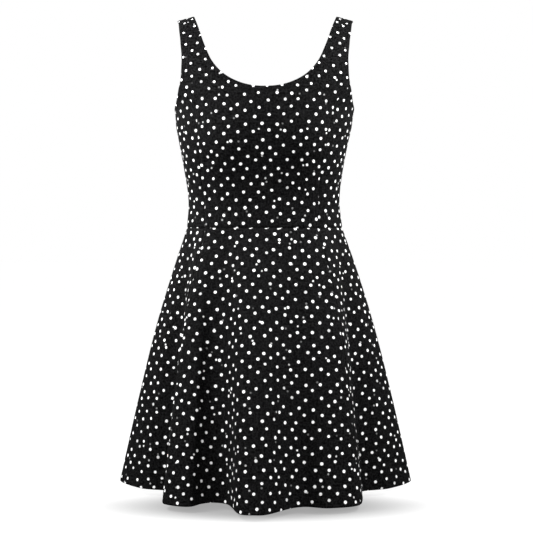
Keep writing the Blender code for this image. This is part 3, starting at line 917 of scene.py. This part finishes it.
def ring_of(rows, columns, inset):
    """Indices round a grid's border, each moved inwards by inset rows and columns."""
    i = np.arange(rows).clip(inset, rows - 1 - inset)
    j = np.arange(columns).clip(inset, columns - 1 - inset)
    low, high = inset, -1 - inset
    sides = (i[low] * columns + j[:-1], i[:-1] * columns + j[high])
    back = (i[high] * columns + j[:0:-1], i[:0:-1] * columns + j[low])
    return np.concatenate(sides + back)


def rim_points(outer, inner, wall, normal, ring, behind):
    """The edge points swept through half an oval, away from their neighbours one step inside the border."""
    away = outer[ring] - outer[behind]
    away -= (away * normal[ring]).sum(axis=-1, keepdims=True) * normal[ring]
    away /= np.linalg.norm(away, axis=-1, keepdims=True)
    middle, half = (outer[ring] + inner[ring]) / 2, wall.reshape(-1)[ring, None] / 2
    angles = np.linspace(0, HALF, RIM_STEPS + 2)[1:-1]
    return [middle + half * (math.cos(a) * normal[ring] + RIM_REACH * math.sin(a) * away) for a in angles]


def shell_mesh(name, outer, wall, normal, flat, materials):
    """The two sheets and the rounded rim of a panel, with the flat cut as its print coordinates."""
    rows, columns = flat.shape
    inner = outer - wall[..., None] * normal
    outer, inner, normal = (array.reshape(-1, 3) for array in (outer, inner, normal))
    ring = ring_of(rows, columns, 0)
    swept = rim_points(outer, inner, wall, normal, ring, ring_of(rows, columns, 1))
    points = np.concatenate([outer, inner] + swept)
    size, length = rows * columns, len(ring)
    hoops = [ring] + [2 * size + k * length + np.arange(length) for k in range(RIM_STEPS)] + [ring + size]
    bands = [np.stack([np.roll(a, -1), a, b, np.roll(b, -1)], axis=-1) for a, b in zip(hoops, hoops[1:])]
    front = grid_faces(rows, columns, 0)
    back = grid_faces(rows, columns, size)[:, ::-1]
    faces = np.concatenate([front] + bands + [back])
    mesh = bpy.data.meshes.new(name)
    mesh.from_pydata(points.tolist(), [], faces.tolist())
    for material in materials:
        mesh.materials.append(material)
    reverse = np.zeros(len(faces), np.int32)
    reverse[-len(back) :] = 1
    mesh.polygons.foreach_set("material_index", reverse)
    coordinates = np.concatenate([flat.reshape(-1), flat.reshape(-1)] + [flat.reshape(-1)[ring]] * RIM_STEPS)
    corners = coordinates[faces.reshape(-1)]
    layer = mesh.uv_layers.new(name="cut")
    layer.data.foreach_set("uv", np.stack([corners.real, corners.imag], axis=-1).astype(np.float32).ravel())
    face_outwards(mesh)
    return mesh


def face_outwards(mesh):
    """Flips a closed mesh whose signed volume is negative, and shades it smooth."""
    points = np.empty(len(mesh.vertices) * 3, np.float32)
    mesh.vertices.foreach_get("co", points)
    mesh.calc_loop_triangles()
    triangles = np.empty(len(mesh.loop_triangles) * 3, np.int32)
    mesh.loop_triangles.foreach_get("vertices", triangles)
    a, b, c = points.reshape(-1, 3)[triangles.reshape(-1, 3)].transpose(1, 0, 2).astype(float)
    if (a * np.cross(b, c)).sum() < 0:
        mesh.flip_normals()
    mesh.shade_smooth()
    mesh.update()


# %% [markdown]
# ## The knit and its print
#
# The cloth is a fine black jersey with small white dots, printed in staggered rows. The dots come from a
# cellular pattern with nearly regular cells: its cell centres, turned by nearly an eighth of a turn, are
# the lattice, and every point nearer to a centre than a dot's radius is white. A little irregularity in
# place, size and whiteness keeps it from looking stamped, and stray flecks lie between the dots. Where the
# bust stretches the knit the dots are a touch larger, and on the slack straps smaller. The black is mottled
# by a fine speckle, a small relief gives it the ribs of the knit, and a trace of sheen stands for fuzz. A
# picture of dots could be laid on instead, but a pattern made of nodes stays sharp however near one looks.

# %% Make the cloth materials
DOT_PITCH = 0.0178  # between neighbouring dots
DOT_RADIUS = 0.00248
DOT_SHARES = (0.88, 1.04)  # the smallest and the largest share of the radius
STRETCH = (0.14, 0.30, 1.04, 0.87)  # two heights above the waist, and the growth of the dots at each
DOT_SOFT = 0.00035  # width of a dot's soft edge, to each side
DOT_JITTER = 0.36  # nought is a square lattice, one has no order
FAINT_DOTS = (0.90, 1.0, 1.0, 0.55)  # a range of the random number, and the whiteness at its ends
DOT_TURN = math.radians(42)  # of the dots' square lattice against the cloth
DRIFT, DRIFT_SCALE = 0.0030, 22  # how far the rows wander, and the scale of the noise that moves them
RAGGED, RAGGED_SCALE = 0.0008, 700  # the same for the edge of a dot
FLECK_PITCH, FLECK_RADIUS, FLECK_JITTER = 0.0250, 0.0016, 1.0
FLECK_GREYS = (0.2, 1.0, 0.12, 0.95)  # a range of the random number, and the greys at its ends
FLECK_CHOSEN = (0.50, 0.52)  # a fleck shows where its other random number is above this step
NOISE_MIDDLE = (0.5, 0.5, 0.5)
DOT_WHITE = (0.85, 0.85, 0.85, 1)
BLACK_LOW, BLACK_HIGH = (0.0002, 0.0002, 0.0002, 1), (0.0088, 0.0088, 0.0091, 1)
REVERSE_BLACK, SHOW_THROUGH = (0.008, 0.008, 0.0085, 1), (0.16, 0.16, 0.16, 1)
THREAD_LOW, THREAD_HIGH = (0.0030, 0.0030, 0.0032, 1), (0.0080, 0.0080, 0.0085, 1)
WALE, COURSES = 0.0011, 1.25  # width of a column of knit stitches, and rows in the same length
SLANT, SLANT_SHARE = 1.6, 0.35  # of the knit's loops: how steep, and how much of the relief
CLOTH_RELIEF, THREAD_RELIEF, RELIEF_STRENGTH = 0.00012, 0.00005, 0.6
FINE_SPECKLE, BROAD_SPECKLE, REVERSE_SPECKLE, THREAD_SPECKLE = 320, 95, 620, 900
SPECKLE_ROUGHNESS = 0.6
FINE_SHARE, BROAD_SHARE = 0.80, 0.20  # of the two speckles in the black
MOTTLE = (0.38, 0.62)  # the range of the speckle between the darkest and the lightest black
FUZZ = 0.8  # how much of the relief is speckle
SHOWING = 0.10  # how much of the print comes through to the inside
TWIST_SCALE, TWIST_DISTORTION = 900, 1.5
THREAD_ROUGHNESS = 0.45
KNIT_FINISH = {
    "Roughness": 0.65,
    "Specular IOR Level": 0.012,
    "Sheen Weight": 0.006,
    "Sheen Roughness": 0.40,
    "Sheen Tint": (0.95, 0.93, 0.96, 1),
}


class Graph:
    """Short ways to add nodes to a material and to join them."""

    def __init__(self, name):
        self.material = bpy.data.materials.new(name)
        self.material.use_nodes = True
        self.tree = self.material.node_tree
        self.shader = self.tree.nodes["Principled BSDF"]

    def add(self, kind, inputs=None, **settings):
        """A node with these settings, whose inputs are joined to sockets or set to values."""
        node = self.tree.nodes.new("ShaderNode" + kind)
        for setting, value in settings.items():
            setattr(node, setting, value)
        for key, value in (inputs or {}).items():
            self.put(node.inputs[key], value)
        return node

    def put(self, socket, value):
        """Joins a socket to another, or gives it a value."""
        if isinstance(value, bpy.types.NodeSocket):
            self.tree.links.new(value, socket)
        else:
            socket.default_value = value

    def math(self, operation, a, b=0.0, c=0.0):
        """The result of one sum."""
        return self.add("Math", {0: a, 1: b, 2: c}, operation=operation).outputs[0]

    def vector(self, operation, a, b=(0, 0, 0), scale=1.0):
        """The result of one sum on vectors."""
        return self.add("VectorMath", {0: a, 1: b, 3: scale}, operation=operation).outputs[0]

    def remap(self, value, low, high, to_low=0.0, to_high=1.0, kind="SMOOTHSTEP"):
        """The value moved from one range to another."""
        inputs = {"Value": value, "From Min": low, "From Max": high, "To Min": to_low, "To Max": to_high}
        return self.add("MapRange", inputs, interpolation_type=kind).outputs["Result"]

    def mix(self, share, a, b):
        """Two colours mixed by a share."""
        node = self.add("Mix", {0: share, 6: a, 7: b}, data_type="RGBA")  # 6 and 7 are its colour inputs
        return node.outputs[2]


def dots(graph, place, pitch, radius, jitter, growth):
    """A mask that is one inside the dots, and two random numbers for each dot."""
    turned = graph.add("Mapping", {"Vector": place, "Rotation": (0, 0, DOT_TURN)})
    cells = graph.add(
        "TexVoronoi",
        {"Vector": turned.outputs[0], "Scale": 1 / pitch, "Randomness": jitter},
        voronoi_dimensions="2D",
    )
    random = graph.add("SeparateColor", {0: cells.outputs["Color"]})
    least, most = (share * radius / pitch for share in DOT_SHARES)
    size = graph.remap(random.outputs[0], 0.0, 1.0, least, most, "LINEAR")
    edge = graph.math("SUBTRACT", cells.outputs["Distance"], graph.math("MULTIPLY", size, growth))
    mask = graph.remap(edge, -DOT_SOFT / pitch, DOT_SOFT / pitch, 1.0, 0.0)
    return mask, random.outputs[1], random.outputs[2]


def print_mask(graph, place):
    """The printed dots, whose rows wander a little, and stray flecks in a few places between them."""
    above_waist = graph.add("SeparateXYZ", {0: place}).outputs[1]
    growth = graph.remap(above_waist, *STRETCH)
    slow = graph.add("TexNoise", {"Vector": place, "Scale": DRIFT_SCALE, "Detail": 0.0}).outputs[1]
    fine = graph.add("TexNoise", {"Vector": place, "Scale": RAGGED_SCALE, "Detail": 1.0}).outputs[1]
    moved = graph.vector("SCALE", graph.vector("SUBTRACT", slow, NOISE_MIDDLE), scale=DRIFT)
    ragged = graph.vector("SCALE", graph.vector("SUBTRACT", fine, NOISE_MIDDLE), scale=RAGGED)
    place = graph.vector("ADD", graph.vector("ADD", place, moved), ragged)
    mask, whiteness, _ = dots(graph, place, DOT_PITCH, DOT_RADIUS, DOT_JITTER, growth)
    mask = graph.math("MULTIPLY", mask, graph.remap(whiteness, *FAINT_DOTS))
    fleck, greyness, chosen = dots(graph, place, FLECK_PITCH, FLECK_RADIUS, FLECK_JITTER, growth)
    fleck = graph.math("MULTIPLY", fleck, graph.remap(greyness, *FLECK_GREYS))
    fleck = graph.math("MULTIPLY", fleck, graph.remap(chosen, *FLECK_CHOSEN))
    return graph.math("MAXIMUM", mask, fleck)


def knit_relief(graph, place):
    """The ribs of a knit: the size of a wave across the cloth, plus a wave up it that the ribs bend."""
    parts = graph.add("SeparateXYZ", {0: place})
    column = graph.math("MULTIPLY", parts.outputs[0], WHOLE / WALE)
    row = graph.math("MULTIPLY", parts.outputs[1], WHOLE / WALE * COURSES)
    rib = graph.math("ABSOLUTE", graph.math("SINE", column))
    slant = graph.math("SINE", graph.math("MULTIPLY_ADD", rib, SLANT, row))
    return graph.math("MULTIPLY_ADD", slant, SLANT_SHARE, rib)


def finish_shader(graph, colour, height, depth):
    """Sets what all the cloth shares: a dull face, a faint sheen and a low relief."""
    graph.put(graph.shader.inputs["Base Color"], colour)
    for socket, value in KNIT_FINISH.items():
        graph.shader.inputs[socket].default_value = value
    bump = graph.add("Bump", {"Height": height, "Strength": RELIEF_STRENGTH, "Distance": depth})
    graph.put(graph.shader.inputs["Normal"], bump.outputs[0])


def speckle(graph, place, scale, detail):
    """Fine noise, in flat cloth or along a thread."""
    inputs = {"Vector": place, "Scale": scale, "Detail": detail, "Roughness": SPECKLE_ROUGHNESS}
    return graph.add("TexNoise", inputs).outputs[0]


def printed_cloth():
    """The outside: black jersey with the white dots."""
    graph = Graph("printed_jersey")
    place = graph.add("UVMap", uv_map="cut").outputs[0]
    fine = speckle(graph, place, FINE_SPECKLE, 3.0)
    broad = speckle(graph, place, BROAD_SPECKLE, 3.0)
    mottled = graph.math("MULTIPLY_ADD", fine, FINE_SHARE, graph.math("MULTIPLY", broad, BROAD_SHARE))
    black = graph.mix(graph.remap(mottled, *MOTTLE), BLACK_LOW, BLACK_HIGH)
    colour = graph.mix(print_mask(graph, place), black, DOT_WHITE)
    height = graph.math("MULTIPLY_ADD", fine, FUZZ, knit_relief(graph, place))
    finish_shader(graph, colour, height, CLOTH_RELIEF)
    return graph.material


def plain_reverse():
    """The inside: the same jersey without its print, with the dots barely showing through."""
    graph = Graph("jersey_reverse")
    place = graph.add("UVMap", uv_map="cut").outputs[0]
    fine = speckle(graph, place, REVERSE_SPECKLE, 2.0)
    colour = graph.mix(graph.math("MULTIPLY", print_mask(graph, place), SHOWING), REVERSE_BLACK, SHOW_THROUGH)
    height = graph.math("MULTIPLY_ADD", fine, FUZZ, knit_relief(graph, place))
    finish_shader(graph, colour, height, CLOTH_RELIEF)
    return graph.material


def black_thread():
    """Spun polyester: a little smoother than the cloth, with its twist as fine slanting ridges."""
    graph = Graph("black_thread")
    place = graph.add("TexCoord").outputs["Object"]
    inputs = {"Vector": place, "Scale": TWIST_SCALE, "Distortion": TWIST_DISTORTION}
    twist = graph.add("TexWave", inputs, bands_direction="DIAGONAL")
    fuzz = speckle(graph, place, THREAD_SPECKLE, 2.0)
    finish_shader(graph, graph.mix(fuzz, THREAD_LOW, THREAD_HIGH), twist.outputs[1], THREAD_RELIEF)
    graph.shader.inputs["Roughness"].default_value = THREAD_ROUGHNESS
    return graph.material


CLOTH_MATERIALS = (printed_cloth(), plain_reverse())
THREAD_MATERIAL = black_thread()
print("materials:", [material.name for material in CLOTH_MATERIALS + (THREAD_MATERIAL,)])

# %% [markdown]
# ## Stitching
#
# The neck, the armholes and the hem are turned under and held by two rows of twin-needle stitching in black
# thread. Each stitch is a short thread, thin at both ends, that lies in the groove pressed into the cloth. A
# row is found on the panel's own grid, where the distance from the edge passes the row's distance. Copies
# of one stitch along a curve would do too, but they would be thousands of pieces. So all the stitches of a
# panel are one mesh, made from one small pattern of points that is moved to every place.

# %% Lay rows of stitches
STITCH_PITCH, STITCH_LENGTH, THREAD = 0.0026, 0.0020, 0.00021  # thread: half its thickness
SEARCH_DEPTH = 60  # grid lines from an edge within which its rows lie
STATIONS = np.array([(0.14, 0.75), (0.5, 1.0), (0.86, 0.75)])  # share along a stitch, share of its thickness
SIDES = 6
STITCH_LIFT = 0.35  # of a stitch's middle line above the cloth, as a share of half its thickness


def inwards(array, view):
    """The part of a grid that an edge borders, turned so that its first axis leads inwards from the edge."""
    index, turned = view
    return array[index].swapaxes(0, 1) if turned else array[index]


def stitch_row(flat, outer, normal, view, row):
    """Points and normals where the distance from one edge passes the row's distance."""
    flat, outer, normal = (inwards(array, view)[:SEARCH_DEPTH] for array in (flat, outer, normal))
    distance = distance_to(flat, [flat[0]])
    after = np.argmax(distance >= row, axis=0).clip(1)
    line = np.arange(flat.shape[1])
    low, high = distance[after - 1, line], distance[after, line]
    share = ((row - low) / (high - low)).clip(0, 1)[:, None]
    return [array[after - 1, line] * (1 - share) + array[after, line] * share for array in (outer, normal)]


def stitch_mesh(name, rows):
    """One closed spindle for each stitch: two end points and three rings between them."""
    starts, ends, ups = [], [], []
    for points, normals in rows:
        distance = travelled(points)
        count = int(distance[-1] / STITCH_PITCH)
        middle = (np.arange(count) + 0.5) * distance[-1] / count
        for place, found in ((middle - STITCH_LENGTH / 2, starts), (middle + STITCH_LENGTH / 2, ends)):
            found.append(np.stack([np.interp(place, distance, axis) for axis in points.T], axis=-1))
        ups.append(np.stack([np.interp(middle, distance, axis) for axis in normals.T], axis=-1))
    start, end, up = (np.concatenate(part)[:, None, None] for part in (starts, ends, ups))
    side = np.cross(up, end - start)
    side /= np.linalg.norm(side, axis=-1, keepdims=True)
    turn = np.arange(SIDES)[None, None, :, None] * WHOLE / SIDES
    share, thick = STATIONS[None, :, None, :1], THREAD * STATIONS[None, :, None, 1:]
    rings = start + (end - start) * share + thick * (up * (np.cos(turn) + STITCH_LIFT) + side * np.sin(turn))
    count = len(start)
    points = np.concatenate([start[:, 0], rings.reshape(count, -1, 3), end[:, 0]], axis=1)
    size = points.shape[1]
    k, after = np.arange(SIDES), (np.arange(SIDES) + 1) % SIDES
    caps = [np.stack([0 * k, 1 + after, 1 + k], axis=-1)]
    caps.append(np.stack([0 * k + size - 1, size - 1 - SIDES + k, size - 1 - SIDES + after], axis=-1))
    band = np.stack([k, after, SIDES + after, SIDES + k], axis=-1)
    bands = [1 + SIDES * ring + band for ring in range(len(STATIONS) - 1)]
    moved = np.arange(count)[:, None, None] * size
    triangles = (np.concatenate(caps) + moved).reshape(-1, 3)
    squares = (np.concatenate(bands) + moved).reshape(-1, 4)
    mesh = bpy.data.meshes.new(name)
    mesh.from_pydata(points.reshape(-1, 3).tolist(), [], triangles.tolist() + squares.tolist())
    mesh.materials.append(THREAD_MATERIAL)
    face_outwards(mesh)
    print(f"  {name}: {count} stitches")
    return mesh


# %% [markdown]
# ## The panels
#
# Now every panel is made the same way: grid, flat cut, distances to its edges, disturbance, shell. What
# differs is only which stretches of its border are seams, which carry the seam's allowance on their inside,
# and which are turned under. Each shell replaces its CAD node and rides on the root body, and the area it
# was cut to is printed.

# %% Make a panel
NOWHERE = 1.0  # a distance too large to matter


def stand_in(mesh, node=None):
    """The object of a finished mesh, riding on the root body. It may replace a CAD node."""
    piece = bpy.data.objects.new(mesh.name, mesh)
    bpy.context.scene.collection.objects.link(piece)
    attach(piece, "root")
    if node:
        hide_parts(node)
    return piece


def nearest_edge(flat, curves):
    """The distance to the nearest of the curves, or a large one where there are none."""
    return distance_to(flat, curves) if curves else np.full(flat.shape, NOWHERE)


def make_panel(node, grid, grain, shift, seams, laps=(), edges=(), hems=()):
    """A panel's shell. Seams and laps are stretches of its border, edges and hems are inward views of it."""
    flat = flattened(node, grid, grain)
    to_seam, to_lap = (nearest_edge(flat, [flat[part] for part in kind]) for kind in (seams, laps))
    to_edge, to_hem = (
        nearest_edge(flat, [inwards(flat, view)[0] for view in kind]) for kind in (edges, hems)
    )
    around, level = grid[..., 0], grid[..., 1]
    normal = outward(around, level)
    outer = garment_point(around, level) + normal * disturbed(grid, to_seam, to_edge, to_hem)[..., None]
    wall = thickness(to_lap, to_edge, to_hem)
    mesh = shell_mesh(node + "_cloth", outer, wall, normal, flat + shift, CLOTH_MATERIALS)
    piece = stand_in(mesh, node)
    rows = [(view, row) for view in edges for row in EDGE_ROWS]
    rows += [(view, row) for view in hems for row in HEM_ROWS]
    stitches = [stitch_row(flat, outer, normal, *row) for row in rows]
    thread = stand_in(stitch_mesh(node + "_stitches", stitches))
    print(f"  {piece.name}: {len(mesh.polygons)} faces, {flat_area(flat):.4f} square metres")


# %% [markdown]
# ## The bodice
#
# The front is cut in one with both front straps, and a princess seam on each side joins it to a narrower
# side panel, which takes up the fullness of the bust. The photograph doesn't show the back, so it gets the
# plainest cut, in one piece with its straps. On such a dress the neck and armholes are turned under by about
# a centimetre. Each edge could be its own narrow strip, but a second layer in the wall's thickness gives the
# same rounded edge without a gap. Each print starts at another place, as it does on panels that are cut from
# a roll, so the dots don't meet at the seams.

# %% Bodice
LAST_ROW = -1
FRONT_WAIST = STRAP_CELLS + SEAM_CELLS  # grid lines before the front's waist seam


def scooped_panel(node, grid, grain, shift, arm_end, laps):
    """The front or the back of the bodice: neck and armholes turned under, and seams all round below them."""
    seams = [np.s_[LAST_ROW, arm_end:-arm_end], np.s_[:, 0], np.s_[:, -1]]
    armholes = (np.s_[::-1, : arm_end + 1], np.s_[::-1, -arm_end - 1 :])
    edges = [(view, False) for view in (np.s_[:, :],) + armholes]
    make_panel(node, grid, grain, shift, seams, laps, edges)


def side_front(side, grid, degrees, shift):
    """A side panel of the front: seams on three sides, and the lower armhole on the fourth."""
    seams = [np.s_[0, :], np.s_[-1, :], np.s_[:, -1]]
    laps = [np.s_[-1, :], np.s_[:, -1]]
    make_panel("side_front_" + side, grid, math.radians(degrees), shift, seams, laps, [(np.s_[:, :], True)])


front_laps = [np.s_[LAST_ROW, FRONT_WAIST:-FRONT_WAIST]]
back_laps = [np.s_[LAST_ROW, ARM_CELLS:-ARM_CELLS], np.s_[:, 0], np.s_[:, -1]]
scooped_panel("front_bodice", front_grid(), QUARTER, 0.0, STRAP_CELLS, front_laps)
scooped_panel("back_bodice", back_grid(), -QUARTER, 0.009 + 0.004j, ARM_CELLS, back_laps)
side_front("left", side_front_grid(LEFT), 20, 0.003 + 0.007j)
side_front("right", mirrored(side_front_grid(RIGHT)), 160, 0.006 + 0.001j)

# %% [markdown]
# ## The skirt
#
# Four gores widen from the waist to the hem: a front that carries on between the princess seams, two sides,
# and a back in one piece. Together they are wider at the hem than the body, and that is what makes the
# folds. A skirt could also be one ring of cloth. Gores were chosen because the rows of dots in the photograph
# seem to turn at lines that carry on from the princess seams. Each gore meets the panel above it at the
# waist seam, and its hem is turned under by about two centimetres.

# %% Skirt


def left_side(level):
    """The left side seam is where the angles start."""
    return np.zeros_like(level)


def left_seam(level):
    """The seam that carries on the left princess seam."""
    return skirt_seam(level, LEFT)


def right_seam(level):
    """The seam that carries on the right princess seam."""
    return HALF - skirt_seam(level, RIGHT)


def right_side(level):
    """The right side seam lies half a turn round."""
    return np.full_like(level, HALF)


def whole_turn(level):
    """The left side seam again, after a whole turn."""
    return np.full_like(level, WHOLE)


def gore(node, start, end, cells, width, grain, shift, above):
    """A skirt panel: seams at the waist and on both sides, and the hem turned under."""
    seams = [np.s_[0, :], np.s_[-1, :], np.s_[:, 0]]
    grid = gore_grid(start, end, cells, width)
    hem = (np.s_[:, ::-1], True)
    laps = [np.s_[0, :]]
    make_panel(node, grid, math.radians(grain), shift, seams, laps, (), [hem])


GORES = (
    # node, first seam, last seam, cells, rough width, grain in degrees, shift of the print, hangs from
    ("skirt_front", left_seam, right_seam, FRONT_GORE, 0.32, 92, 0.002 + 0.005j, "front_bodice"),
    ("skirt_side_left", left_side, left_seam, SIDE_GORE, 0.16, 22, 0.008 + 0.002j, "side_front_left"),
    ("skirt_side_right", right_seam, right_side, SIDE_GORE, 0.16, 158, 0.005 + 0.009j, "side_front_right"),
    ("skirt_back", right_side, whole_turn, BACK_GORE, 0.6, 270, 0.001 + 0.003j, "back_bodice"),
)
for gore_row in GORES:
    gore(*gore_row)
